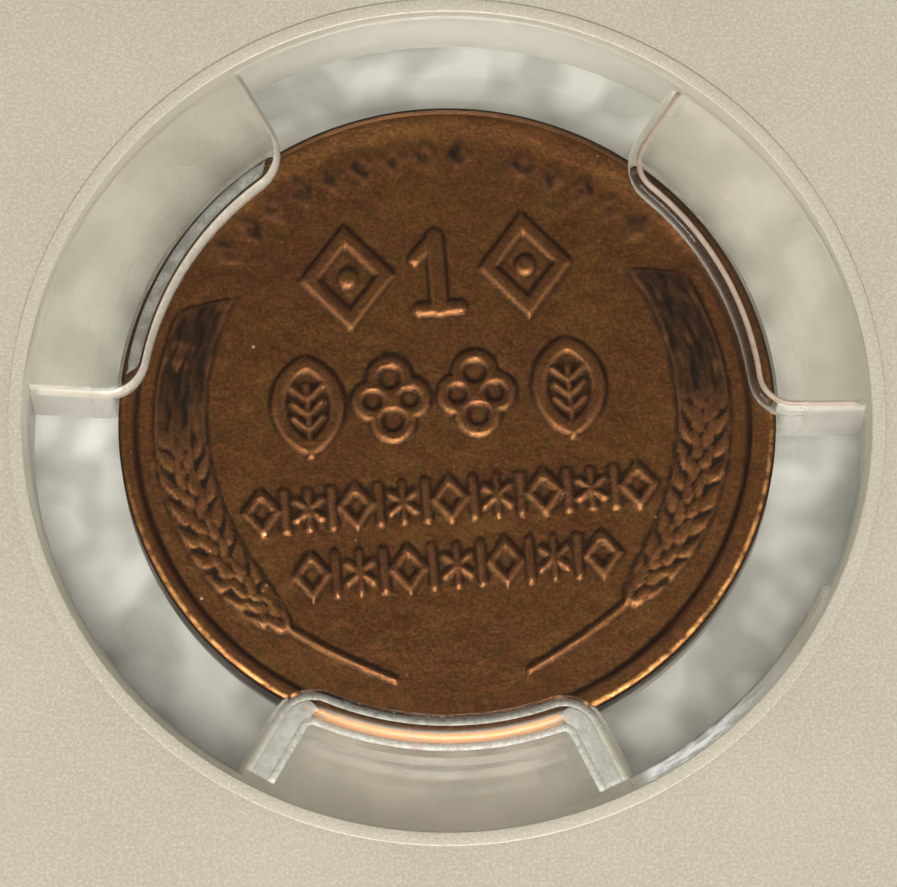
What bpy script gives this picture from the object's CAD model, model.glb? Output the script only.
"""Looks of a sealed coin slab: its camera, lights, materials and detailed pieces.

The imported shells, gasket, core, labels and tag keep their shape and get materials. The coin's blank is
replaced by a struck coin. The gasket's prongs and the window get thin beads, and the labels get their
print. Design lengths are in millimetres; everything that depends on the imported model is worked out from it.
"""

import math

import bpy
import numpy as np
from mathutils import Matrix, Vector


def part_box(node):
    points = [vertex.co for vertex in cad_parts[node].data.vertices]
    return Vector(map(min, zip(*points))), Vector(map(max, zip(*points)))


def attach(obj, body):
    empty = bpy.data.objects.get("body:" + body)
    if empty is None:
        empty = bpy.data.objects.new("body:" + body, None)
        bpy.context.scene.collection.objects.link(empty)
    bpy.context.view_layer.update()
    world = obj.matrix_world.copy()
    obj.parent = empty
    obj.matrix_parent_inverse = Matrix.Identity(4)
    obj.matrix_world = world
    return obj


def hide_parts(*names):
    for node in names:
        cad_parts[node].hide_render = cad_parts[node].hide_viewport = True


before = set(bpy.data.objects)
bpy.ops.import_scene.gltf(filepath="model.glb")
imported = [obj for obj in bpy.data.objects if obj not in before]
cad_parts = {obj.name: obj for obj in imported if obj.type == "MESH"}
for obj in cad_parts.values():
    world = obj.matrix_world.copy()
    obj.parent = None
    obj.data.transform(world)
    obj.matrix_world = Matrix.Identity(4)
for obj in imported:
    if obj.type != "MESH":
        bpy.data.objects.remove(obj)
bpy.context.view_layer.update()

MM = 0.001
coin_low, coin_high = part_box("coin")
COIN_CENTRE = (coin_low + coin_high) / 2
COIN_R = (coin_high.x - coin_low.x) / 2 / MM
COIN_HALF = (coin_high.z - coin_low.z) / 2 / MM

# ---- the coin's strike, in millimetres about the coin's axis ------------------------------------
STRIKE_TURN = 4.5                 # how far the coin sits turned in its gasket, in degrees
STRIKE_OFFSET = (-0.14, -0.04)    # the dies struck this far off the blank's centre
FACE_CELLS = 256                  # across the reverse's grid
RIM_INNER_R = 8.89
RIM_SLOPE = 0.11                  # how wide the step up to the rim is
FIELD_DEPTH = 0.14                # how far the field lies below the rim
EDGE_R = 0.14                     # the rounding between each face and the side
BEVEL_R, SIDE_R = 9.325, 9.47     # the edge's rubbed bevel lies between these; outside it the side is dark
SHADED_FROM = -0.15               # the side is dark above this height and catches light below it
SHADED_DROP = 0.4                 # on the left it stays dark this much further down
FAR_EDGE_R = 9.27                 # outside this the far edge is in shade
EDGE_LOOPS = 6
SIDE_LOOPS = 6


# ---- shapes on the coin's face ------------------------------------------------------------------
def smooth(x):
    """Smooth step from 0 at x = 0 to 1 at x = 1."""
    x = np.clip(x, 0.0, 1.0)
    return x * x * (3.0 - 2.0 * x)


def raised(distance, height, soft):
    """A flat-topped form with soft shoulders, from the signed distance to its outline."""
    return height * smooth(0.5 - distance / (2.0 * soft))


def to_segment(u, v, start, end):
    """Distance from each point to a straight segment."""
    (u0, v0), (u1, v1) = start, end
    along_u, along_v = u1 - u0, v1 - v0
    share = ((u - u0) * along_u + (v - v0) * along_v) / (along_u ** 2 + along_v ** 2)
    share = np.clip(share, 0.0, 1.0)
    return np.hypot(u - u0 - share * along_u, v - v0 - share * along_v)


def to_path(u, v, points):
    """Distance from each point to a chain of segments."""
    return np.min([to_segment(u, v, a, b) for a, b in zip(points, points[1:])], axis=0)


def to_lozenge(u, v, centre, half_width, half_height):
    """Distance from each point to an upright lozenge's line."""
    size = np.abs(u - centre[0]) / half_width + np.abs(v - centre[1]) / half_height
    return np.abs(size - 1.0) * half_width * half_height / math.hypot(half_width, half_height)


def ripple(u, v, seed, longest, shortest, waves=28):
    """Gentle unevenness: a sum of plane waves in random directions, about -1 to 1."""
    random = np.random.default_rng(seed)
    total = np.zeros_like(u)
    for _ in range(waves):
        heading = random.uniform(0, 2 * math.pi)
        length = math.exp(random.uniform(math.log(shortest), math.log(longest)))
        phase = random.uniform(0, 2 * math.pi)
        total += np.sin((u * math.cos(heading) + v * math.sin(heading)) * 2 * math.pi / length + phase)
    return total / math.sqrt(waves)


def bezier(start, middle, end, steps):
    """Points of a quadratic curve."""
    return [tuple((1 - t) ** 2 * a + 2 * t * (1 - t) * b + t * t * c
                  for a, b, c in zip(start, middle, end))
            for t in np.linspace(0, 1, steps)]


def to_leaf(u, v, centre, half_width, half_height):
    """Signed distance to an upright pointed leaf: the overlap of two discs."""
    radius = (half_height ** 2 + half_width ** 2) / (2 * half_width)
    across, up = np.abs(u - centre[0]), v - centre[1]
    return np.hypot(across + radius - half_width, up) - radius


def to_quatrefoil(u, v, centre, half_width, half_height):
    """Signed distance to four lobes round a centre."""
    across, up = np.abs(u - centre[0]), np.abs(v - centre[1])
    upright = np.hypot(across, up - 0.5 * half_height) - 0.5 * half_width
    level = np.hypot(across - 0.55 * half_width, up) - 0.45 * half_width
    return np.minimum(upright, level)


# Numeral and ornaments of the reverse: (centre across, half width) of each, row by row
TOP_LEVEL, TOP_HALF = 4.57, 1.28
TOP_LOZENGES = ((-2.42, 1.12), (2.78, 1.1))
NUMERAL_U = 0.2
NUMERAL_STROKE = 0.46
SECOND_LEVEL, SECOND_HALF = 0.83, 1.28
LEAVES = ((-3.85, 0.84), (3.75, 0.84))
QUATREFOILS = ((-1.42, 0.98), (1.05, 0.98))
STROKE = 0.39
SMALL_STROKE = 0.21
RELIEF = 0.068
SOFT = 0.058


def numeral_one(u, v):
    """Signed distance to a plain figure one."""
    half = NUMERAL_STROKE / 2
    head, foot = TOP_LEVEL + TOP_HALF - half, TOP_LEVEL - TOP_HALF + 0.17
    stem = to_segment(u, v, (NUMERAL_U, head), (NUMERAL_U, foot)) - half
    flag = to_segment(u, v, (NUMERAL_U, head), (NUMERAL_U - 0.62, head - 0.62)) - 0.17
    base = to_segment(u, v, (NUMERAL_U - 0.6, foot), (NUMERAL_U + 0.6, foot)) - 0.17
    return np.minimum(np.minimum(stem, flag), base)


def large_ornaments(u, v):
    """Signed distance to the lozenges, leaves and quatrefoils of the two upper rows."""
    parts = []
    for place, half in TOP_LOZENGES:
        parts.append(to_lozenge(u, v, (place, TOP_LEVEL), half, TOP_HALF) - STROKE / 2)
        parts.append(np.hypot(u - place, v - TOP_LEVEL) - 0.26)
    for place, half in LEAVES:
        parts.append(np.abs(to_leaf(u, v, (place, SECOND_LEVEL), half, SECOND_HALF)) - STROKE / 2)
        middle = ((place, SECOND_LEVEL - SECOND_HALF - 0.2), (place, SECOND_LEVEL + 0.6))
        parts.append(to_segment(u, v, *middle) - 0.085)
        for rise in (-0.75, -0.3, 0.15):
            root = (place, SECOND_LEVEL + rise)
            for side in (-1, 1):
                tip = (place + side * 0.42, SECOND_LEVEL + rise + 0.42)
                parts.append(to_segment(u, v, root, tip) - 0.07)
    for place, half in QUATREFOILS:
        parts.append(np.abs(to_quatrefoil(u, v, (place, SECOND_LEVEL), half, SECOND_HALF)) - 0.15)
    return np.min(parts, axis=0)


def small_ornaments(u, v, level, places, half_height):
    """Signed distance to a band of lozenges and six-rayed stars with a bar between each two."""
    parts = []
    for i, place in enumerate(places):
        if i % 2:
            ends = ((place, level - half_height), (place, level + half_height))
            parts.append(to_segment(u, v, *ends) - SMALL_STROKE / 2)
        elif i % 4:
            for turn in (90, 30, -30):
                step_u = 0.42 * math.cos(math.radians(turn))
                step_v = half_height * math.sin(math.radians(turn))
                ends = ((place - step_u, level - step_v), (place + step_u, level + step_v))
                parts.append(to_segment(u, v, *ends) - 0.085)
        else:
            parts.append(to_lozenge(u, v, (place, level), 0.44, half_height) - SMALL_STROKE / 2)
    return np.min(parts, axis=0)


ARC_R = 8.14
ARC_FROM, ARC_TO = 136.0, 42.0
ARC_COUNT = 15
ARC_GAP = 9


def arc_beads(u, v):
    """Signed distance to the worn lozenges under the rim's upper stretch."""
    parts = []
    for i, angle in enumerate(np.linspace(ARC_FROM, ARC_TO, ARC_COUNT)):
        if i == ARC_GAP:
            continue
        turn = math.radians(angle)
        along = -u * math.sin(turn) + v * math.cos(turn)
        outward = u * math.cos(turn) + v * math.sin(turn) - ARC_R
        parts.append(to_lozenge(along, outward, (0, 0), 0.22, 0.3) - 0.1)
    return np.min(parts, axis=0)


# Grain ears: each follows a stretch of one ellipse, from its stem up to its cut awns
EAR_HALF_U, EAR_HALF_V, EAR_CENTRE_V = 7.6, 7.87, 0.29
EAR_FROM, EAR_TO = -50.2, 33.6
EAR_SCALE = 7.8
EAR_LENGTH = math.radians(EAR_TO - EAR_FROM) * EAR_SCALE
EAR_HALF_WIDTH = 0.78
EAR_CUT_SLOPE = 0.82
KERNEL_PITCH = 0.74
KERNEL_HALF_LENGTH, KERNEL_HALF_WIDTH = 0.48, 0.175
# Each column's place across the ear, where its first kernel starts and how far its kernels lean, in degrees
KERNEL_COLUMNS = ((-0.54, 0.12, -30), (-0.18, 0.5, -14), (0.18, 0.1, 14), (0.54, 0.52, 30))
AWNS_FROM = 5.6


def ear_places(u, v):
    """How far along the nearer ear each point lies, and how far outside its middle line."""
    angle = np.arctan2((v - EAR_CENTRE_V) / EAR_HALF_V, np.abs(u) / EAR_HALF_U)
    size = np.hypot(u / EAR_HALF_U, (v - EAR_CENTRE_V) / EAR_HALF_V)
    return (angle - math.radians(EAR_FROM)) * EAR_SCALE, (size - 1.0) * EAR_SCALE


def ear_outline(along, across):
    """Signed distance to the ear's outline: a point at the stem, an oblique cut at the awns."""
    half = EAR_HALF_WIDTH * np.sqrt(1.0 - np.exp(-np.maximum(along, 0.0) / 1.7))
    half -= np.where(across > 0, 0.05, 0.01) * np.maximum(along - 6.0, 0.0)
    cut = along - (EAR_LENGTH - EAR_CUT_SLOPE * (across + EAR_HALF_WIDTH))
    return np.maximum(np.maximum(np.abs(across) - half, cut), -along)


def kernels(along, across):
    """Height of the plaited kernels, 0 to 1: four columns of leaning, domed drops."""
    highest = np.zeros_like(along)
    for middle, start, lean in KERNEL_COLUMNS:
        lean = math.radians(lean)
        for step in (-0.5, 0.5, 1.5):
            a = np.mod(along - start, KERNEL_PITCH) - step * KERNEL_PITCH
            b = across - middle
            length = (a * math.cos(lean) + b * math.sin(lean)) / KERNEL_HALF_LENGTH
            width = (b * math.cos(lean) - a * math.sin(lean)) / KERNEL_HALF_WIDTH
            dome = 1 - length ** 2 - (width / np.clip(1.0 - 0.4 * length, 0.3, 2.0)) ** 2
            highest = np.maximum(highest, np.sqrt(np.clip(dome, 0, 1)) * (0.85 + 0.15 * length))
    return highest


def ear_texture(u, v):
    """Places along and across the ears, and the height of their grain and awns, 0 to 1."""
    along, across = ear_places(u, v)
    drift = 0.06 * ripple(u, v, 24, 1.8, 0.6)
    grain = kernels(along + drift, across + 0.05 * ripple(u, v, 25, 1.8, 0.6))
    awns = 0.5 + 0.35 * ripple(along * 0.3, across * 1.6 + drift, 21, 0.9, 0.3)
    upper = smooth((along - AWNS_FROM) / 2.2)
    return along, across, grain * (1 - upper) + upper * np.clip(awns, 0, 1)


def ears(u, v):
    """Height of both grain ears."""
    along, across, texture = ear_texture(u, v)
    inside = raised(ear_outline(along, across), 1.0, 0.055)
    return inside * (0.03 + 0.06 * texture * (0.93 + 0.07 * ripple(u, v, 23, 1.2, 0.4)))


STEM_POINTS = bezier((4.9, -5.72), (3.87, -6.54), (1.94, -7.5), 9)


def stems(u, v):
    """Height of the two stems."""
    distance = to_path(np.abs(u), v, STEM_POINTS)
    return raised(distance - 0.075, 0.065, 0.06)


def rim_height(x, y):
    """Height of the raised rim, a little off centre and worn low where the legend's beads meet it."""
    radius = np.hypot(x - STRIKE_OFFSET[0], y - STRIKE_OFFSET[1])
    worn = smooth((y / np.maximum(np.hypot(x, y), 0.01) - 0.35) / 0.5)
    slope = RIM_SLOPE + 0.75 * worn
    return FIELD_DEPTH * (1 - 0.62 * worn) * smooth((radius - RIM_INNER_R + 0.4 * worn) / slope)


def reverse_height(x, y):
    """Height of the reverse over its field, at points of the holder's plane about the coin's axis."""
    turn = math.radians(-STRIKE_TURN)
    u = x * math.cos(turn) - y * math.sin(turn) - STRIKE_OFFSET[0]
    v = x * math.sin(turn) + y * math.cos(turn) - STRIKE_OFFSET[1]
    height = raised(np.minimum(numeral_one(u, v), large_ornaments(u, v)), RELIEF, SOFT)
    third = small_ornaments(u, v, -2.27, np.linspace(-5.4, 5.5, 17), 0.56)
    fourth = small_ornaments(u, v, -4.25, np.linspace(-4.1, 4.3, 13), 0.58)
    rows = np.minimum(third, fourth)
    height = np.maximum(height, raised(rows, 0.06, 0.055))
    height = np.maximum(height, raised(arc_beads(u, v), 0.028, 0.11))
    height = np.maximum(height, np.maximum(ears(u, v), stems(u, v)))
    uneven = 0.004 * ripple(u, v, 5, 4.0, 0.7) + 0.0012 * ripple(u, v, 6, 0.7, 0.25)
    return np.maximum(height, rim_height(x, y)) + uneven


def obverse_height(x, y):
    """Height of the obverse over its field: a rosette in a ring of pellets."""
    radius, angle = np.hypot(x, y), np.arctan2(y, x)
    petals = 4.6 + 1.3 * np.cos(angle * 8)
    rosette = raised(radius - petals, 0.09, 0.12) * (0.72 + 0.28 * np.cos(angle * 8))
    heart = raised(np.abs(radius - 1.7) - 0.2, 0.1, 0.1)
    step = 2 * math.pi / 48
    beads = np.hypot(radius - 8.05, radius * (np.mod(angle, step) - step / 2)) - 0.2
    height = np.maximum(np.maximum(rosette, heart), raised(beads, 0.07, 0.08))
    return np.maximum(height, rim_height(x, y)) + 0.004 * ripple(x, y, 7, 4.0, 0.7)


# ---- meshes -------------------------------------------------------------------------------------
def disc_grid(cells):
    """x and y of an even grid mapped onto a unit disc, each (cells + 1) squared."""
    a, b = np.meshgrid(np.linspace(-1, 1, cells + 1), np.linspace(-1, 1, cells + 1), indexing="ij")
    wide = np.abs(a) > np.abs(b)
    safe_a, safe_b = np.where(a == 0, 1, a), np.where(b == 0, 1, b)
    radius = np.where(wide, a, b)
    angle = np.where(wide, math.pi / 4 * b / safe_a, math.pi / 2 - math.pi / 4 * a / safe_b)
    return radius * np.cos(angle), radius * np.sin(angle)


def grid_faces(cells):
    """Quads of a (cells + 1) squared grid of vertices."""
    index = np.arange((cells + 1) ** 2).reshape(cells + 1, cells + 1)
    quads = [index[:-1, :-1], index[1:, :-1], index[1:, 1:], index[:-1, 1:]]
    return np.stack([q.ravel() for q in quads], axis=1)


def grid_border(cells):
    """Indices of the grid's border vertices, in order round it."""
    index = np.arange((cells + 1) ** 2).reshape(cells + 1, cells + 1)
    return np.concatenate([index[:-1, 0], index[-1, :-1], index[:0:-1, -1], index[0, :0:-1]])


def blurred(values, reach):
    """Mean of a square array over reach cells to each side."""
    out = values
    for axis in (0, 1):
        padded = np.pad(out, [(reach, reach) if k == axis else (0, 0) for k in (0, 1)], mode="edge")
        width = out.shape[axis]
        out = sum(np.take(padded, range(i, i + width), axis=axis) for i in range(2 * reach + 1))
        out = out / (2 * reach + 1)
    return out


def new_piece(name, vertices, faces, body, smooth_faces=True):
    """A mesh object that rides on a body."""
    mesh = bpy.data.meshes.new(name)
    mesh.from_pydata(vertices, [], faces)
    mesh.validate()
    mesh.polygons.foreach_set("use_smooth", [smooth_faces] * len(mesh.polygons))
    mesh.update()
    piece = bpy.data.objects.new(name, mesh)
    bpy.context.scene.collection.objects.link(piece)
    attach(piece, body)
    return piece


def ring_points(radius, count, height):
    """Points round the coin's axis, starting where a disc grid's border does."""
    start = math.radians(-135)
    turn = start + np.arange(count) * 2 * math.pi / count
    return np.stack([radius * np.cos(turn), radius * np.sin(turn), np.full(count, height)], axis=1)


def joined(rings):
    """Quads between each two neighbouring rings of vertices."""
    return [np.stack([upper, lower, np.roll(lower, -1), np.roll(upper, -1)], axis=1)
            for upper, lower in zip(rings, rings[1:])]


def struck_coin():
    """The coin: a fine grid for the reverse, a coarser one for the obverse, and the edge between."""
    face_r = COIN_R - EDGE_R
    fine, coarse = FACE_CELLS, FACE_CELLS // 2
    x, y = (g * face_r for g in disc_grid(fine))
    field = COIN_HALF - FIELD_DEPTH
    reverse = np.minimum(reverse_height(x, y), FIELD_DEPTH)
    top = np.stack([x, y, field + reverse], axis=-1).reshape(-1, 3)
    xb, yb = (g * face_r for g in disc_grid(coarse))
    obverse = np.minimum(obverse_height(xb, yb), FIELD_DEPTH)
    bottom = np.stack([xb, yb, -field - obverse], axis=-1).reshape(-1, 3)

    blocks, faces = [top], [grid_faces(fine)]
    rings = [grid_border(fine)]
    count, used = 4 * fine, len(top)
    levels = [(face_r + EDGE_R * math.sin(a), COIN_HALF - EDGE_R * (1 - math.cos(a)))
              for a in np.linspace(0, math.pi / 2, EDGE_LOOPS + 1)[1:]]
    straight = COIN_HALF - EDGE_R
    levels += [(COIN_R, z) for z in np.linspace(straight, -straight, SIDE_LOOPS + 1)[1:]]
    for radius, height in levels:
        blocks.append(ring_points(radius, count, height))
        rings.append(np.arange(used, used + count))
        used += count
    faces += joined(rings)
    last = rings[-1]

    half_count = count // 2
    angles = np.linspace(math.pi / 2, 0, EDGE_LOOPS + 1)[1:-1]
    coarse_rings = []
    for a in angles:
        radius, height = face_r + EDGE_R * math.sin(a), -COIN_HALF + EDGE_R * (1 - math.cos(a))
        blocks.append(ring_points(radius, half_count, height))
        coarse_rings.append(np.arange(used, used + half_count))
        used += half_count
    coarse_rings.append(used + grid_border(coarse))
    blocks.append(bottom)
    first = coarse_rings[0]
    even, odd, after = last[0::2], last[1::2], np.roll(last[0::2], -1)
    nxt = np.roll(first, -1)
    triangles = [np.stack(t, axis=1) for t in ((even, first, odd), (odd, nxt, after), (odd, first, nxt))]
    faces += joined(coarse_rings)
    faces.append(grid_faces(coarse)[:, ::-1] + used)

    places = np.concatenate(blocks)
    vertices = places * MM + np.array(COIN_CENTRE)
    polygons = np.concatenate(faces).tolist() + np.concatenate(triangles).tolist()
    coin = new_piece("struck_coin", vertices.tolist(), polygons, "coin")

    near, wide = blurred(reverse, 1), blurred(reverse, 2)
    store(coin, "edge", np.clip((reverse - near) / 0.010, 0, 1).ravel())
    store(coin, "hollow", np.clip((wide - reverse) / 0.016, 0, 1).ravel())
    store(coin, "grime", grime_of(x, y).ravel())
    store_edge_wear(coin, places)
    return coin


def store_edge_wear(coin, places):
    """Where the coin's edge is rubbed bright, lies in shade or catches pale light.

    The end near the window's near prong faces the light, and the far end faces away from it.
    """
    radius = np.hypot(places[:, 0], places[:, 1])
    toward = -places[:, 1] / COIN_R
    rightward = smooth(places[:, 0] / COIN_R)
    rubbed = np.clip(1.5 * (toward - 0.12 + 0.35 * rightward), 0.03, 1.0)
    near_arc = smooth((toward - 0.88) / 0.05)
    bright = near_arc * smooth((radius - SIDE_R) / 0.03)
    leftward = smooth(-places[:, 0] / COIN_R + 0.2)
    bevel = rubbed * smooth((radius - BEVEL_R) / 0.04) * smooth((SIDE_R - radius) / 0.04)
    store(coin, "bevel", np.maximum(bevel, bright))
    side = smooth((radius - SIDE_R) / 0.03) * (1 - bright)
    shaded = smooth((places[:, 2] - SHADED_FROM + SHADED_DROP * leftward) / 0.25)
    far = smooth((-0.35 - toward) / 0.4) * smooth((radius - FAR_EDGE_R) / 0.08)
    store(coin, "side", np.maximum(side * shaded, far))
    lit_arc = near_arc * smooth((radius - BEVEL_R + 0.1) / 0.04)
    store(coin, "pale", np.maximum(side * (1 - shaded) * 0.85, lit_arc))


def grime_of(x, y):
    """Where dark grime clings to the reverse: the worn beads, the awns and the grain's creases."""
    turn = math.radians(-STRIKE_TURN)
    u = x * math.cos(turn) - y * math.sin(turn) - STRIKE_OFFSET[0]
    v = x * math.sin(turn) + y * math.cos(turn) - STRIKE_OFFSET[1]
    patchy = 0.8 + 0.4 * ripple(u, v, 11, 1.5, 0.4)
    beads = raised(arc_beads(u, v) - 0.05, 1.0, 0.16) * patchy
    along, across, texture = ear_texture(u, v)
    inside = raised(ear_outline(along, across), 1.0, 0.1)
    creases = smooth((0.5 - texture) / 0.32)
    upper = smooth((along - 4.6) / 3.2)
    patches = np.clip(1.1 + 0.3 * ripple(u, v, 12, 1.7, 0.5), 0, 1)
    ear = inside * np.maximum(0.95 * creases, upper * patches * (0.9 + 0.1 * creases))
    inner = raised(np.abs(ear_outline(along, across) - 0.04) - 0.03, 1.0, 0.06)
    inner *= smooth(along / 0.8) * smooth((EAR_LENGTH - along) / 1.0) * smooth(0.5 - across / 0.2)
    return np.clip(np.maximum(np.maximum(beads * 0.85, ear), inner * patches), 0, 1)


def store(piece, name, values):
    """Keeps one number per vertex on the piece; vertices past the given ones get 0."""
    data = np.zeros(len(piece.data.vertices), np.float32)
    data[:len(values)] = values
    piece.data.attributes.new(name, "FLOAT", "POINT").data.foreach_set("value", data)


# ---- materials ----------------------------------------------------------------------------------
class Shader:
    """A material under construction: add() makes a node and returns it."""

    def __init__(self, name):
        self.material = bpy.data.materials.new(name)
        self.material.use_nodes = True
        self.tree = self.material.node_tree
        self.tree.nodes.clear()
        self.output = self.tree.nodes.new("ShaderNodeOutputMaterial")

    def add(self, kind, inputs=None, **settings):
        """A node of that kind; inputs maps socket names or numbers to values or sockets to link."""
        node = self.tree.nodes.new("ShaderNode" + kind)
        for key, value in settings.items():
            setattr(node, key, value)
        for key, value in (inputs or {}).items():
            if isinstance(value, bpy.types.NodeSocket):
                self.tree.links.new(value, node.inputs[key])
            else:
                node.inputs[key].default_value = value
        return node

    def stored(self, name):
        """A number that the mesh keeps at each vertex."""
        return self.add("Attribute", attribute_name=name).outputs["Fac"]

    def place(self):
        """Coordinates in the piece's own frame, in metres."""
        return self.add("TexCoord").outputs["Object"]

    def noise(self, size_mm, detail=3.0, roughness=0.55, vector=None):
        """Noise with features of about that size in millimetres."""
        inputs = {"Vector": vector or self.place(), "Scale": 1 / (size_mm * MM), "Detail": detail,
                  "Roughness": roughness}
        return self.add("TexNoise", inputs).outputs["Fac"]

    def ramp(self, value, *stops):
        """Maps a value through (place, colour or grey) stops."""
        node = self.add("ValToRGB", {"Fac": value})
        elements = node.color_ramp.elements
        for i, (place, colour) in enumerate(stops):
            element = elements[i] if i < len(elements) else elements.new(place)
            element.position = place
            grey = isinstance(colour, (int, float))
            element.color = (colour, colour, colour, 1) if grey else (*colour, 1)
        return node.outputs["Color"]

    def mix(self, factor, a, b, blend="MIX"):
        """Mixes two colours."""
        node = self.add("Mix", data_type="RGBA", blend_type=blend)
        for socket, value in ((node.inputs["Factor"], factor), (node.inputs[6], a), (node.inputs[7], b)):
            if isinstance(value, bpy.types.NodeSocket):
                self.tree.links.new(value, socket)
            elif socket.type == "RGBA":
                socket.default_value = (*value, 1) if len(value) == 3 else value
            else:
                socket.default_value = value
        return node.outputs[2]

    def math(self, operation, a, b=0.0):
        """One arithmetic step."""
        return self.add("Math", {0: a, 1: b}, operation=operation).outputs[0]

    def product(self, first, *others):
        """Values multiplied together."""
        for other in others:
            first = self.math("MULTIPLY", first, other)
        return first

    def highest(self, first, *others):
        """The highest of several values."""
        for other in others:
            first = self.math("MAXIMUM", first, other)
        return first

    def rise(self, value, start, end):
        """0 at start, 1 at end, and level beyond them."""
        return self.add("MapRange", {"Value": value, "From Min": start, "From Max": end}).outputs["Result"]

    def upright(self):
        """How far the surface faces up or down: 1 on a level face, 0 on an upright wall."""
        normal = self.add("SeparateXYZ", {0: self.add("NewGeometry").outputs["Normal"]})
        return self.math("ABSOLUTE", normal.outputs["Z"])

    def bump(self, height, distance_mm, strength=1.0, normal=None):
        """Normal bent by a height pattern."""
        inputs = {"Height": height, "Distance": distance_mm * MM, "Strength": strength}
        if normal is not None:
            inputs["Normal"] = normal
        return self.add("Bump", inputs).outputs["Normal"]

    def finish(self, shader):
        """Connects the surface and returns the material."""
        self.tree.links.new(shader.outputs[0], self.output.inputs["Surface"])
        return self.material


WALL_HAZE = 0.24                  # how milky the shells' upright walls are


def clear_plastic():
    """The shells' polished plastic: glass to the eye, with a faint haze on its walls."""
    s = Shader("clear_shell")
    waviness = s.noise(9.0, 2.0)
    scuffs = s.noise(0.5, 5.0, 0.7)
    rough = s.ramp(scuffs, (0.5, 0.0), (0.8, 0.04))
    glass = s.add("BsdfPrincipled", {"Base Color": (0.97, 0.98, 0.98, 1), "Roughness": rough, "IOR": 1.49,
                                     "Transmission Weight": 1.0, "Normal": s.bump(waviness, 0.02, 0.6)})
    wall = s.ramp(s.upright(), (0.3, WALL_HAZE), (0.9, 0.0))
    body = s.add("MixShader", {0: wall, 1: glass.outputs[0], 2: milky(s, (0.60, 0.61, 0.60, 1)).outputs[0]})
    return s.finish(open_to_lamps(s, body, (0.985, 0.99, 0.99, 1)))


def milky(s, colour):
    """A milky body: half of its light comes back and half goes on through."""
    back = s.add("BsdfDiffuse", {"Color": colour})
    through = s.add("BsdfTranslucent", {"Color": colour})
    return s.add("MixShader", {0: 0.5, 1: through.outputs[0], 2: back.outputs[0]})


def open_to_lamps(s, body, tint):
    """Lets lamp light and scattered light straight through a clear body."""
    open_air = s.add("BsdfTransparent", {"Color": tint})
    path = s.add("LightPath")
    indirect = s.highest(path.outputs["Is Shadow Ray"], path.outputs["Is Diffuse Ray"])
    return s.add("MixShader", {0: indirect, 1: body.outputs[0], 2: open_air.outputs[0]})


LIP_ROOT_R, BODY_R = 9.6, 10.5    # a prong is clear up to its lip's root and milky from its body on
BAND_R, BAND_MILKY_R = 11.85, 12.05
STREAK_IN = (11.8, 11.9)          # the white streak starts between these radii
STREAK_OUT = (12.38, 12.28)       # and ends between these
STREAK_START = (-64, -61)         # it starts between these directions from the coin's axis, in degrees
STREAK_END = (-34, -52)           # and thins out between these
STREAK_STRETCH = 2.0              # its grain's size along the band, in millimetres for each radian


def white_streak(s, level, radius):
    """A grained white streak along the thick stretch of the gasket's band."""
    flat = s.add("SeparateXYZ", {0: level})
    angle = s.math("ARCTAN2", flat.outputs["Y"], flat.outputs["X"])
    along = s.product(s.rise(angle, *(math.radians(a) for a in STREAK_START)),
                      s.rise(angle, *(math.radians(a) for a in STREAK_END)))
    across = s.product(s.rise(radius, *(r * MM for r in STREAK_IN)),
                       s.rise(radius, *(r * MM for r in STREAK_OUT)))
    rolled = s.add("CombineXYZ", {"X": radius, "Y": s.product(angle, STREAK_STRETCH * MM)})
    grain = s.ramp(s.noise(0.16, 3.0, 0.6, rolled.outputs[0]), (0.38, 0.5), (0.54, 1.0))
    return s.product(along, across, grain)


def soft_plastic():
    """The gasket's softer plastic: clear in the thin lips, milky in the prongs, satin on its flanks."""
    s = Shader("gasket_clear")
    flank = s.ramp(s.upright(), (0.25, 1.0), (0.75, 0.0))
    place = s.add("NewGeometry").outputs["Position"]
    outward = s.add("VectorMath", {0: place, 1: tuple(COIN_CENTRE)}, operation="SUBTRACT").outputs["Vector"]
    level = s.add("VectorMath", {0: outward, 1: (1, 1, 0)}, operation="MULTIPLY").outputs["Vector"]
    radius = s.add("VectorMath", {0: level}, operation="LENGTH").outputs["Value"]
    root = s.rise(radius, LIP_ROOT_R * MM, BODY_R * MM)
    band = s.rise(radius, BAND_R * MM, BAND_MILKY_R * MM)
    streak = white_streak(s, level, radius)
    cloud = s.ramp(s.noise(2.6, 2.0), (0.35, 0.75), (0.65, 1.0))
    on_flank = s.product(flank, s.math("ADD", 0.25, s.product(root, 0.04)))
    milk = s.highest(s.product(root, cloud, 0.44), on_flank, s.product(band, 0.4), s.product(streak, 0.95))
    rough = s.math("ADD", s.product(flank, 0.08), s.product(root, 0.05))
    pitted = s.bump(s.noise(0.12, 3.0), 0.01, s.product(flank, 0.9))
    glass = s.add("BsdfPrincipled", {"Base Color": (0.975, 0.962, 0.93, 1), "Roughness": rough,
                                     "IOR": 1.5, "Transmission Weight": 1.0, "Normal": pitted})
    shade = s.mix(flank, (0.66, 0.61, 0.50), (0.86, 0.83, 0.76))
    shade = s.mix(streak, shade, (0.96, 0.96, 0.96))
    body = s.add("MixShader", {0: milk, 1: glass.outputs[0], 2: milky(s, shade).outputs[0]})
    return s.finish(open_to_lamps(s, body, (0.987, 0.98, 0.965, 1)))


MOUTH_R, MOUTH_END_R = 12.68, 12.75    # inside the first the window's mouth is brighter than the plate


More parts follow.
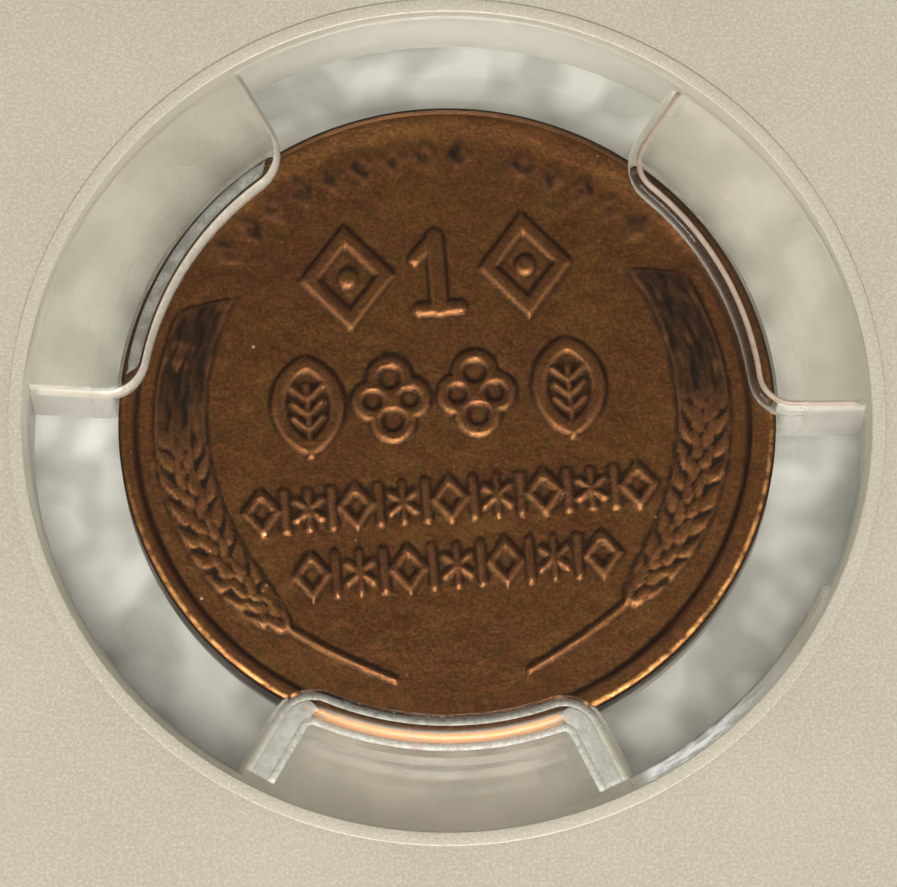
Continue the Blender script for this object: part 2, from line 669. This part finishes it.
def frosted_plastic(name, depth, lit_mouth=True):
    """The core's frosted plastic: pale, softly lit from within, with a fine sparkle in its texture."""
    s = Shader(name)
    place = s.place()
    grain = s.noise(0.055, 2.0, 0.6, place)
    clouds = s.noise(6.0, 3.0, 0.5, place)
    colour = s.ramp(clouds, (0.3, (0.35, 0.312, 0.245)), (0.7, (0.385, 0.345, 0.272)))
    specks = s.ramp(s.noise(0.08, 2.0, 0.6, place), (0.42, 0.0), (0.66, 1.0))
    colour = s.mix(s.product(specks, 0.33), colour, (0.64, 0.60, 0.51))
    if lit_mouth:
        offset = s.add("VectorMath", {0: place, 1: tuple(COIN_CENTRE)}, operation="DISTANCE")
        mouth = s.rise(offset.outputs["Value"], MOUTH_END_R * MM, MOUTH_R * MM)
        colour = s.mix(mouth, colour, (0.41, 0.372, 0.30))
    rough = s.ramp(grain, (0.35, 0.62), (0.7, 0.3))
    normal = s.bump(grain, 0.01, 0.5)
    shader = s.add("BsdfPrincipled", {"Base Color": colour, "Roughness": rough, "IOR": 1.5,
                                      "Subsurface Weight": depth, "Subsurface Scale": 0.002,
                                      "Normal": normal})
    shader.inputs["Subsurface Radius"].default_value = (1.0, 0.9, 0.7)
    return s.finish(shader)


def bronze():
    """Circulated bronze: mottled brown patina, dark grime in the creases, brighter metal on worn edges."""
    s = Shader("coin_bronze")
    place = s.place()
    mottle = s.noise(1.3, 5.0, 0.62, place)
    patches = s.noise(0.42, 4.0, 0.6, s.add("Mapping", {"Vector": place, "Location": (3, 1, 2)}).outputs[0])
    fine = s.noise(0.1, 3.0, 0.65, place)
    brown = s.ramp(mottle, (0.34, (0.098, 0.036, 0.0125)), (0.5, (0.118, 0.048, 0.013)),
                   (0.66, (0.142, 0.066, 0.0145)))
    brown = s.mix(s.ramp(patches, (0.44, 0.0), (0.66, 0.75)), brown, (0.165, 0.056, 0.022))
    brown = s.mix(s.ramp(patches, (0.3, 0.7), (0.47, 0.0)), brown, (0.09, 0.046, 0.0125))
    brown = s.mix(s.ramp(fine, (0.36, 0.5), (0.55, 0.0)), brown, (0.05, 0.023, 0.008))
    brown = s.mix(s.ramp(fine, (0.52, 0.0), (0.72, 0.5)), brown, (0.2, 0.098, 0.034))
    copper = s.ramp(s.stored("edge"), (0.1, 0.0), (0.8, 1.0))
    colour = s.mix(s.product(copper, 0.14), brown, (0.42, 0.185, 0.095))
    cells = s.add("TexVoronoi", {"Vector": place, "Scale": 1 / (1.3 * MM)}).outputs["Distance"]
    colour = s.mix(s.ramp(cells, (0.02, 0.8), (0.045, 0.0)), colour, (0.75, 0.48, 0.3))
    rubbed = s.product(s.stored("bevel"), s.ramp(s.noise(0.4, 4.0, 0.65, place), (0.38, 0.1), (0.58, 1.0)))
    colour = s.mix(rubbed, colour, (0.92, 0.42, 0.14))
    colour = s.mix(s.product(s.stored("side"), 0.85), colour, (0.018, 0.010, 0.006))
    pale = s.stored("pale")
    lit = s.mix(s.ramp(rubbed, (0.0, 0.0), (0.3, 1.0)), (0.50, 0.47, 0.41), (0.95, 0.50, 0.28))
    colour = s.mix(pale, colour, lit)
    crease = s.ramp(s.stored("hollow"), (0.2, 0.0), (0.9, 1.0))
    colour = s.mix(s.product(crease, 0.68), colour, (0.02, 0.012, 0.008))
    broken = s.ramp(s.noise(0.3, 4.0, 0.7, place), (0.42, 1.0), (0.74, 0.8))
    dirt = s.product(s.stored("grime"), broken)
    colour = s.mix(s.product(dirt, 0.98), colour, (0.010, 0.007, 0.005))
    rough = s.math("ADD", s.ramp(patches, (0.3, 0.40), (0.7, 0.31)), s.product(dirt, 0.3))
    drawn = s.add("Mapping", {"Vector": place, "Rotation": (0, 0, 0.6), "Scale": (40, 1, 1)})
    lines = s.ramp(s.noise(4.0, 2.0, 0.5, drawn.outputs[0]), (0.66, 0.0), (0.70, 1.0))
    normal = s.bump(fine, 0.011, 1.0)
    normal = s.bump(patches, 0.012, 0.8, normal)
    normal = s.bump(lines, 0.004, 0.3, normal)
    metal = s.math("SUBTRACT", 0.9, s.highest(s.product(dirt, 0.88), s.product(pale, 0.75)))
    shader = s.add("BsdfPrincipled", {"Base Color": colour, "Metallic": metal, "Roughness": rough,
                                      "Specular IOR Level": 0.0, "Normal": normal})
    return s.finish(shader)


def paper():
    """Coated label paper."""
    s = Shader("label_paper")
    fibres = s.noise(0.12, 4.0, 0.6)
    colour = s.ramp(fibres, (0.3, (0.50, 0.53, 0.525)), (0.7, (0.57, 0.60, 0.59)))
    shader = s.add("BsdfPrincipled", {"Base Color": colour, "Roughness": 0.45,
                                      "Normal": s.bump(fibres, 0.01, 0.4)})
    return s.finish(shader)


def foil():
    """Embossed foil whose fine ruling gives shifting bands."""
    s = Shader("foil")
    place = s.place()
    cells = s.add("TexVoronoi", {"Vector": place, "Scale": 1 / (0.9 * MM)}).outputs["Distance"]
    slanted = s.add("Mapping", {"Vector": place, "Rotation": (0, 0, 0.7), "Scale": (1, 0.2, 1)})
    bands = s.noise(2.2, 1.0, 0.5, slanted.outputs[0])
    tint = s.ramp(bands, (0.34, (0.45, 0.66, 0.72)), (0.45, (0.66, 0.62, 0.78)),
                  (0.55, (0.80, 0.66, 0.60)), (0.66, (0.52, 0.74, 0.60)))
    tint = s.mix(s.ramp(cells, (0.2, 0.0), (0.7, 0.5)), tint, (0.32, 0.36, 0.40))
    shader = s.add("BsdfPrincipled", {"Base Color": tint, "Metallic": 0.55, "Roughness": 0.3,
                                      "Normal": s.bump(cells, 0.05, 0.5)})
    return s.finish(shader)


def plain(name, colour, roughness, metallic=0.0):
    """A simple finish with a little grain."""
    s = Shader(name)
    grain = s.noise(0.2, 3.0)
    tone = s.ramp(grain, (0.3, [c * 0.9 for c in colour]), (0.7, list(colour)))
    shader = s.add("BsdfPrincipled", {"Base Color": tone, "Roughness": roughness, "Metallic": metallic,
                                      "Normal": s.bump(grain, 0.004, 0.4)})
    return s.finish(shader)


def dress(node, material):
    """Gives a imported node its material."""
    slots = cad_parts[node].data.materials
    slots.clear()
    slots.append(material)


# ---- the object ---------------------------------------------------------------------------------
coin = struck_coin()
coin.data.materials.append(bronze())
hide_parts("coin")

shell_plastic = clear_plastic()
dress("rear_shell", shell_plastic)
dress("front_shell", shell_plastic)
dress("coin_gasket", soft_plastic())
dress("core_plate", frosted_plastic("frosted_core", 0.25))
for node in ("grade_label", "rear_label"):
    dress(node, paper())
dress("security_foil", foil())
dress("tag_film", plain("tag_film", (0.75, 0.78, 0.80), 0.25))
dress("tag_antenna", plain("tag_trace", (0.78, 0.79, 0.80), 0.3, 1.0))
dress("tag_chip", plain("tag_chip", (0.03, 0.03, 0.035), 0.4))

# ---- beads and haze on the gasket's prongs ------------------------------------------------------
LEFT_PRONG, RIGHT_PRONG, NEAR_PRONG = 148.5, 28.5, -91.5    # directions from the coin's axis, in degrees
PRONG_SPAN = 56.5
PRONG_LIP_R, PRONG_CORNER_R, PRONG_EDGE_R = 8.8, 1.3, 0.48
PRONG_ROOT_R = 11.9
RIB_SINK = 0.01                   # how far a rib's underside lies in the gasket


def prong_outline():
    """Outline of a prong that points along x, from one root to the other, with its inward directions."""
    half = math.radians(PRONG_SPAN / 2)
    corner_r = PRONG_LIP_R + PRONG_CORNER_R
    corner = half - math.asin(PRONG_CORNER_R / corner_r)
    centre = np.array([corner_r * math.cos(corner), corner_r * math.sin(corner)])
    points, inwards = [], []
    for reach in np.linspace(PRONG_ROOT_R, math.sqrt(corner_r ** 2 - PRONG_CORNER_R ** 2), 12):
        points.append(np.array([math.cos(half), math.sin(half)]) * reach)
        inwards.append(np.array([math.sin(half), -math.cos(half)]))
    for heading in np.linspace(half + math.pi / 2, corner + math.pi, 16)[1:]:
        outward = np.array([math.cos(heading), math.sin(heading)])
        points.append(centre + PRONG_CORNER_R * outward)
        inwards.append(-outward)
    for heading in np.linspace(corner, 0, 28)[1:]:
        inwards.append(np.array([math.cos(heading), math.sin(heading)]))
        points.append(PRONG_LIP_R * inwards[-1])
    flip = np.array([1, -1])
    return (np.array(points + [p * flip for p in points[-2::-1]]),
            np.array(inwards + [n * flip for n in inwards[-2::-1]]))


def prong_rib(name, prong, reach, height, material, stretch=slice(None)):
    """A low rib along a prong's rounded edge, between two insets from its outline."""
    outline, inwards = (rows[stretch] for rows in prong_outline())
    turn = math.radians(prong)
    spin = np.array([[math.cos(turn), math.sin(turn)], [-math.sin(turn), math.cos(turn)]])
    top = (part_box("coin_gasket")[1].z - COIN_CENTRE.z) / MM
    shares = np.linspace(0, 1, 9)
    section = [(share, height * math.sin(math.pi * share)) for share in shares]
    section += [(share, -RIB_SINK) for share in shares[::-1]]
    step = np.arange(len(outline))
    from_start = step if stretch.start else step + 9
    from_end = step[::-1] if stretch.stop else step[::-1] + 9
    taper = 0.1 + 0.9 * smooth(np.minimum(from_start, from_end) / 5)
    rings = []
    for share, lift in section:
        inset = reach[0] + (reach[1] - reach[0]) * (0.5 + (share - 0.5) * taper)
        fall = PRONG_EDGE_R - np.sqrt(PRONG_EDGE_R ** 2 - np.maximum(PRONG_EDGE_R - inset, 0) ** 2)
        rings.append(np.column_stack([(outline + inwards * inset[:, None]) @ spin, top - fall + lift]))
    points = np.stack(rings, axis=1)
    length, round_ = points.shape[:2]
    index = np.arange(length * round_).reshape(length, round_)
    after = np.roll(index, -1, axis=1)
    quads = np.stack([index[1:], after[1:], after[:-1], index[:-1]], axis=-1).reshape(-1, 4)
    faces = quads.tolist() + [index[0].tolist(), index[-1, ::-1].tolist()]
    vertices = points.reshape(-1, 3) * MM + np.array(COIN_CENTRE)
    rib = new_piece(name, vertices.tolist(), faces, "holder")
    rib.data.materials.append(material)
    return rib


def rubbed_plastic(name, colour, least, most, size):
    """Plastic whitened by the mould's parting and by wear: patchy and part clear."""
    s = Shader(name)
    cover = s.ramp(s.noise(size, 3.0, 0.65), (0.36, least), (0.6, most))
    shader = s.add("BsdfPrincipled", {"Base Color": (*colour, 1), "Roughness": 0.35, "Alpha": cover})
    return s.finish(shader)


def add_ribs():
    """The moulded beads along the lips, and the whitened flanks of the near prong."""
    cream = rubbed_plastic("lip_bead_cream", (0.46, 0.41, 0.345), 0.75, 1.0, 0.4)
    rosy = rubbed_plastic("lip_bead_rosy", (0.36, 0.27, 0.205), 0.75, 1.0, 0.4)
    speckled = rubbed_plastic("lip_bead_speckled", (0.46, 0.45, 0.40), 0.4, 0.85, 0.22)
    haze = rubbed_plastic("flank_haze", (0.46, 0.45, 0.41), 0.3, 0.68, 0.6)
    faint = rubbed_plastic("lip_haze", (0.25, 0.24, 0.21), 0.35, 0.8, 0.6)
    prong_rib("gasket_bead_left", LEFT_PRONG, (0.03, 0.19), 0.03, cream)
    prong_rib("gasket_bead_right", RIGHT_PRONG, (0.24, 0.39), 0.03, rosy)
    prong_rib("gasket_bead_near", NEAR_PRONG, (0.16, 0.38), 0.03, speckled)
    prong_rib("gasket_bead_near_inner", NEAR_PRONG, (0.9, 1.12), 0.03, speckled)
    prong_rib("gasket_haze_left", LEFT_PRONG, (0.24, 0.56), 0.02, faint, slice(20, -20))
    for name, stretch in (("right", slice(0, 26)), ("left", slice(-26, None))):
        prong_rib("gasket_haze_near_" + name, NEAR_PRONG, (0.38, 0.9), 0.02, haze, stretch)


BEAD_REACH = (-0.18, 0.24)        # the window's bead lies between these, about the gasket's outer radius
BEAD_HEIGHT = 0.012


def add_window_bead():
    """The low moulded bead that hides the fit between the gasket and the core's window."""
    low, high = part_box("coin_gasket")
    outer_r = (high.x - low.x) / 2 / MM
    top = (high.z - COIN_CENTRE.z) / MM
    radii = np.linspace(outer_r + BEAD_REACH[0], outer_r + BEAD_REACH[1], 9)
    section = [(radius, top + BEAD_HEIGHT * math.sin(math.pi * share))
               for radius, share in zip(radii, np.linspace(0, 1, 9))]
    section += [(radius, top - RIB_SINK) for radius in radii[::-1]]
    turns, count = 240, len(section)
    vertices = np.concatenate([ring_points(radius, turns, level) for radius, level in section])
    index = np.arange(count * turns).reshape(count, turns)
    nxt, after = np.roll(index, -1, axis=0), np.roll(index, -1, axis=1)
    quads = np.stack([index, nxt, np.roll(nxt, -1, axis=1), after], axis=-1).reshape(-1, 4)
    vertices = vertices * MM + np.array(COIN_CENTRE)
    bead = new_piece("window_bead", vertices.tolist(), quads.tolist(), "holder")
    bead.data.materials.append(frosted_plastic("frosted_bead", 0.0, lit_mouth=False))


add_ribs()
add_window_bead()

# ---- the labels' print --------------------------------------------------------------------------
UNDERPRINT, BAND, WORDS = 0.004, 0.007, 0.01    # how far each layer of ink stands up, in millimetres
LEFT, TEXT_LEFT = -25.2, -24.4                  # the print's edge on both labels, and where its lines start
REAR_RIGHT, FRONT_RIGHT = 9.6, 25.2
BAND_BOTTOM, BAND_TOP = 6.9, 9.0
WAVE_LEVELS = np.linspace(-8.6, 6.0, 9)
FRAME_GAP = 0.02                  # keeps a frame's four sides apart, so that none touches another


def ink_piece(name, label, front, tiles, ink, material):
    """Thin solid tiles of ink on a label: each tile is a chain of (x, y) points round an outline."""
    low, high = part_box(label)
    centre = (low + high) / 2
    side = -1 if front else 1
    base = low.z if front else high.z
    levels = sorted((base, base + side * ink * MM))
    vertices, faces = [], []
    for outline in tiles:
        points = outline[::-1] if front else outline
        start, count = len(vertices), len(points)
        for z in levels:
            vertices += [(centre.x + side * x * MM, centre.y + y * MM, z) for x, y in points]
        faces.append([start + i for i in range(count)][::-1])
        faces.append([start + count + i for i in range(count)])
        for i in range(count):
            j = (i + 1) % count
            faces.append([start + i, start + j, start + count + j, start + count + i])
    piece = new_piece(name, vertices, faces, "holder", False)
    piece.data.materials.append(material)
    return piece


def tile(left, bottom, right, top):
    """A rectangle's outline."""
    return [(left, bottom), (right, bottom), (right, top), (left, top)]


def word_tiles(random, right, level, height):
    """A row of blocks of uneven length, standing in for a line of print."""
    tiles, x = [], TEXT_LEFT
    while x < right - 1.0:
        length = min(random.uniform(1.6, 5.5), right - x)
        tiles.append(tile(x, level, x + length, level + height))
        x += length + 0.8
    return tiles


def code_tiles(random, right, bottom, top):
    """A row of upright bars of uneven width."""
    tiles, x = [], TEXT_LEFT
    while x < right - 0.6:
        width = random.choice((0.18, 0.18, 0.36, 0.54))
        tiles.append(tile(x, bottom, x + width, top))
        x += width + random.choice((0.18, 0.27, 0.45))
    return tiles


def wave_tiles(right, rise=0.55, length=7.0, width=0.12):
    """Fine wavy ribbons of underprint."""
    tiles = []
    steps = np.linspace(LEFT, right, 120)
    for i, level in enumerate(WAVE_LEVELS):
        heights = level + rise * np.sin(steps * 2 * math.pi / length + i * 0.9)
        tiles.append(list(zip(steps, heights)) + list(zip(steps[::-1], heights[::-1] + width)))
    return tiles


def frame_tiles(left, bottom, right, top, line):
    """The four sides of a rectangular frame."""
    low, high = bottom + line + FRAME_GAP, top - line - FRAME_GAP
    return [tile(left, bottom, right, bottom + line), tile(left, top - line, right, top),
            tile(left, low, left + line, high), tile(right - line, low, right, high)]


def print_labels():
    """Both labels' print: a coloured band, an underprint, blocks for words and a bar pattern."""
    random = np.random.default_rng(3)
    dark = plain("ink_dark", (0.035, 0.04, 0.05), 0.5)
    band = plain("ink_band", (0.03, 0.13, 0.19), 0.4)
    pale = plain("ink_pale", (0.50, 0.66, 0.70), 0.5)
    ink_piece("rear_underprint", "rear_label", False, wave_tiles(REAR_RIGHT), UNDERPRINT, pale)
    strip = [tile(LEFT, BAND_BOTTOM, REAR_RIGHT, BAND_TOP)]
    ink_piece("rear_band", "rear_label", False, strip, BAND, band)
    words = word_tiles(random, 4.0, 4.0, 1.1) + word_tiles(random, -4.0, 2.1, 1.1)
    words += word_tiles(random, 6.5, 0.2, 1.1)
    words += code_tiles(random, -1.5, -6.9, -2.2) + word_tiles(random, -3.0, -8.6, 0.8)
    ink_piece("rear_words", "rear_label", False, words, WORDS, dark)
    ink_piece("front_underprint", "grade_label", True, wave_tiles(FRONT_RIGHT), UNDERPRINT, pale)
    strip = [tile(LEFT, BAND_BOTTOM, FRONT_RIGHT, BAND_TOP)]
    ink_piece("front_band", "grade_label", True, strip, BAND, band)
    words = word_tiles(random, 5.0, 3.6, 1.7) + word_tiles(random, -2.0, 0.6, 1.7)
    words += word_tiles(random, 8.0, -2.2, 1.2) + code_tiles(random, 2.0, -8.4, -4.2)
    words += frame_tiles(11.5, -8.0, 24.0, 5.0, 0.35) + [tile(14.0, -1.0, 21.5, 2.6)]
    words += [tile(14.8, -5.4, 20.7, -3.6)]
    ink_piece("front_words", "grade_label", True, words, WORDS, dark)


print_labels()

# ---- floor, light and camera --------------------------------------------------------------------
FLOOR_SIDE = 4.0                  # in metres, as are all the floor's lengths
MOTTLED_R, PLAIN_R = 0.014, 0.03  # the mottling fades out between these, from the coin's axis
MOTTLE_SHIFT = (0.063, 0.011, 0.0)
MOTTLE_SLOPE = (-1.0, 1.0, 0.0)   # how the mottling lightens across the floor, for each metre


def add_floor():
    """A plain pale floor that the holder lies on."""
    half = FLOOR_SIDE / 2
    corners = [(-half, -half, 0), (half, -half, 0), (half, half, 0), (-half, half, 0)]
    mesh = bpy.data.meshes.new("floor")
    mesh.from_pydata(corners, [], [(0, 1, 2, 3)])
    floor = bpy.data.objects.new("floor", mesh)
    bpy.context.scene.collection.objects.link(floor)
    s = Shader("floor")
    spread = s.add("VectorMath", {0: s.place(), 1: MOTTLE_SLOPE}, operation="DOT_PRODUCT")
    moved = s.add("Mapping", {"Vector": s.place(), "Location": MOTTLE_SHIFT})
    value = s.math("ADD", s.noise(1.9, 1.0, vector=moved.outputs[0]), spread.outputs["Value"])
    mottled = s.ramp(value, (0.38, (0.64, 0.62, 0.545)), (0.58, (1.0, 0.96, 0.87)))
    offset = s.add("VectorMath", {0: s.place(), 1: (COIN_CENTRE.x, COIN_CENTRE.y, 0)}, operation="DISTANCE")
    tone = s.mix(s.rise(offset.outputs["Value"], MOTTLED_R, PLAIN_R), mottled, (0.60, 0.585, 0.54))
    mesh.materials.append(s.finish(s.add("BsdfPrincipled", {"Base Color": tone, "Roughness": 0.7})))


def add_lamp(name, offset, side, watts, colour):
    """A soft square lamp that looks at the coin from an offset in metres."""
    data = bpy.data.lights.new(name, "AREA")
    data.shape = "SQUARE"
    data.size = side
    data.energy = watts
    data.color = colour
    lamp = bpy.data.objects.new(name, data)
    lamp.location = COIN_CENTRE + Vector(offset)
    lamp.rotation_euler = (-Vector(offset)).to_track_quat("-Z", "Y").to_euler()
    lamp.visible_camera = False
    bpy.context.scene.collection.objects.link(lamp)


PALE_END, DIM_START = -0.1, 0.24  # the surroundings dim between these shares of a direction's y


def add_world(pale, dim):
    """Soft surroundings, dimmer behind the holder than in front of it."""
    world = bpy.data.worlds.new("studio")
    bpy.context.scene.world = world
    world.use_nodes = True
    tree = world.node_tree
    tree.nodes.clear()
    coordinates = tree.nodes.new("ShaderNodeTexCoord")
    split = tree.nodes.new("ShaderNodeSeparateXYZ")
    ramp = tree.nodes.new("ShaderNodeValToRGB")
    background = tree.nodes.new("ShaderNodeBackground")
    output = tree.nodes.new("ShaderNodeOutputWorld")
    map_range = tree.nodes.new("ShaderNodeMapRange")
    map_range.inputs["From Min"].default_value = PALE_END
    map_range.inputs["From Max"].default_value = DIM_START
    ramp.color_ramp.elements[0].color = (*pale, 1)
    ramp.color_ramp.elements[1].color = (*dim, 1)
    tree.links.new(coordinates.outputs["Generated"], split.inputs[0])
    tree.links.new(split.outputs["Y"], map_range.inputs["Value"])
    tree.links.new(map_range.outputs[0], ramp.inputs["Fac"])
    tree.links.new(ramp.outputs["Color"], background.inputs["Color"])
    tree.links.new(background.outputs[0], output.inputs["Surface"])


VIEW_TILT = 15.2                  # the line of sight's angle to the upright, in degrees
VIEW_DISTANCE = 0.2
VIEW_AIM = (0.04, -0.53)          # from the coin's axis, in millimetres, on the plane of its rim
LENS = 276.8


def add_camera():
    """The camera looks down on the coin window from the end away from the label."""
    data = bpy.data.cameras.new("camera")
    data.lens = LENS
    data.sensor_width = 36.0
    data.clip_start = 0.01
    camera = bpy.data.objects.new("camera", data)
    tilt = math.radians(VIEW_TILT)
    aim = Vector((COIN_CENTRE.x + VIEW_AIM[0] * MM, COIN_CENTRE.y + VIEW_AIM[1] * MM, coin_high.z))
    back = Vector((0, -math.sin(tilt), math.cos(tilt)))
    camera.location = aim + back * VIEW_DISTANCE
    camera.rotation_euler = (-back).to_track_quat("-Z", "Y").to_euler()
    bpy.context.scene.collection.objects.link(camera)
    bpy.context.scene.camera = camera


add_floor()
add_world((0.62, 0.61, 0.58), (0.05, 0.05, 0.05))
add_lamp("key", (0.12, -0.62, 0.52), 0.5, 7.4, (1.0, 0.97, 0.92))
add_lamp("left", (-0.66, -0.42, 0.42), 0.3, 2.2, (1.0, 0.98, 0.95))
add_lamp("overhead", (-0.02, -0.32, 0.92), 0.35, 5.2, (1.0, 0.98, 0.95))
add_camera()

scene = bpy.context.scene
scene.view_settings.view_transform = "Standard"
scene.cycles.max_bounces = 20
scene.cycles.transmission_bounces = 16
scene.cycles.transparent_max_bounces = 24
scene.cycles.glossy_bounces = 8
scene.cycles.caustics_reflective = False
scene.cycles.caustics_refractive = False
